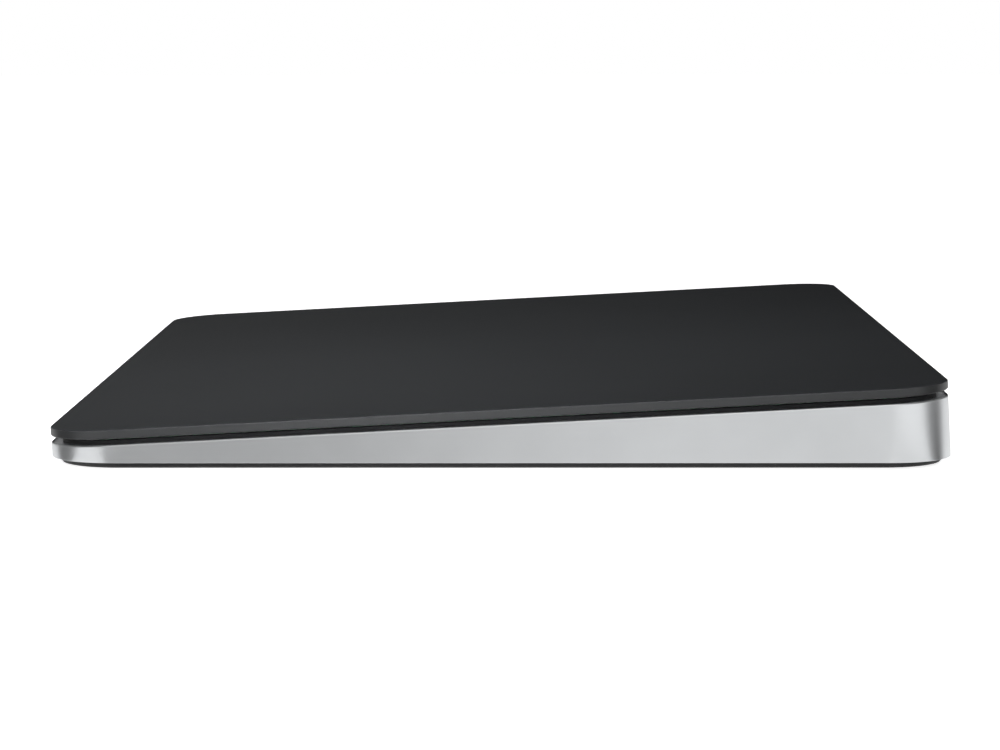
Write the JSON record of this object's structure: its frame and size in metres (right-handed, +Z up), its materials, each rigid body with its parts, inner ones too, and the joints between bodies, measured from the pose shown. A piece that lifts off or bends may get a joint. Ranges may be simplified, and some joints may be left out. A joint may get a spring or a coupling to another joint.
{
  "type": "trackpad",
  "caption": "Flat wedge-shaped desk trackpad: a glass touch plate on a force-sensing sprung suspension in an aluminium housing, with a charge port and a power slide at the rear.",
  "frame": {"origin": "on the desk, under the middle of the pad's outline", "axes": "+X to the user's right, +Y to the thick rear edge, +Z up from the desk"},
  "size_m": [0.16, 0.1148, 0.0109],
  "materials": {
    "black_glass": "matte etched black glass",
    "satin_aluminium": "fine bead-blasted and anodised",
    "black_rubber": "matte",
    "foot_rubber": "matte",
    "base_plastic": "fine grain",
    "grey_plastic": "satin",
    "black_plastic": "moulded",
    "circuit_board": "solder resist",
    "spring_steel": "rolled",
    "plated_steel": "bright plated",
    "magnet_iron": "ground",
    "copper_wire": "enamelled wire",
    "gold_plate": "plated",
    "amber_ribbon": "polyimide film",
    "clear_gel": "soft gel",
    "cell_pouch": "foil pouch",
    "adhesive": "pressure-sensitive film"
  },
  "bodies": {
    "chassis": {"antenna_cable": "black_plastic", "antenna_carrier": "black_plastic", "antenna_element": "gold_plate", "base_cover": "base_plastic", "base_seal": "adhesive", "battery_board": "circuit_board", "battery_cell": "cell_pouch", "battery_lead": "amber_ribbon", "battery_tapes": "adhesive", "charge_port_board": "circuit_board", "charge_port_bracket": "spring_steel", "charge_port_contacts": "gold_plate", "charge_port_core": "black_plastic", "charge_port_screws": "plated_steel", "charge_port_shell": "plated_steel", "flexure_front_left": "spring_steel", "flexure_front_right": "spring_steel", "flexure_rear_left": "spring_steel", "flexure_rear_right": "spring_steel", "flexure_rivets": "spring_steel", "foot_front_left": "foot_rubber", "foot_front_right": "foot_rubber", "foot_rear_left": "foot_rubber", "foot_rear_right": "foot_rubber", "gauge_ribbon": "amber_ribbon", "haptic_coil_1": "copper_wire", "haptic_coil_2": "copper_wire", "haptic_coil_3": "copper_wire", "haptic_coil_4": "copper_wire", "haptic_core": "magnet_iron", "haptic_lead": "amber_ribbon", "haptic_screws": "plated_steel", "housing": "satin_aluminium", "logic_board": "circuit_board", "logic_chips": "black_plastic", "logic_screws": "plated_steel", "logic_socket": "black_plastic", "rear_ribbon": "amber_ribbon", "rim_gasket": "black_rubber", "shield_can_left": "plated_steel", "shield_can_right": "plated_steel", "strain_gauges": "amber_ribbon", "switch_board": "circuit_board", "switch_body": "black_plastic", "touch_ribbon": "amber_ribbon"},
    "suspension": {"gel_pad_front_left": "clear_gel", "gel_pad_front_right": "clear_gel", "gel_pad_rear_left": "clear_gel", "gel_pad_rear_right": "clear_gel"},
    "touch_plate": {"touch_glass": "black_glass", "glass_bond_sheet": "adhesive", "sensor_board": "circuit_board", "touch_chips": "black_plastic", "sensor_socket": "black_plastic", "armature_bar": "magnet_iron"},
    "power_slide": {"switch_slider": "grey_plastic"}
  },
  "joints": [
    {"name": "press", "type": "slide", "parent": "chassis", "child": "suspension", "axis": [0, 0.0523, -0.9986], "range_m": [0, 0.0002], "stiffness_N_per_m": 10000, "springref_m": -0.0001, "deforming": ["flexure_front_left", "flexure_front_right", "flexure_rear_left", "flexure_rear_right", "touch_ribbon"]},
    {"name": "shake", "type": "slide", "parent": "suspension", "child": "touch_plate", "axis": [0, 0.9986, 0.0523], "range_m": [-0.0002, 0.0002], "stiffness_N_per_m": 10000},
    {"name": "power_slide", "type": "slide", "parent": "chassis", "child": "power_slide", "axis": [1, 0, 0], "range_m": [0, 0.002]}
  ]
}
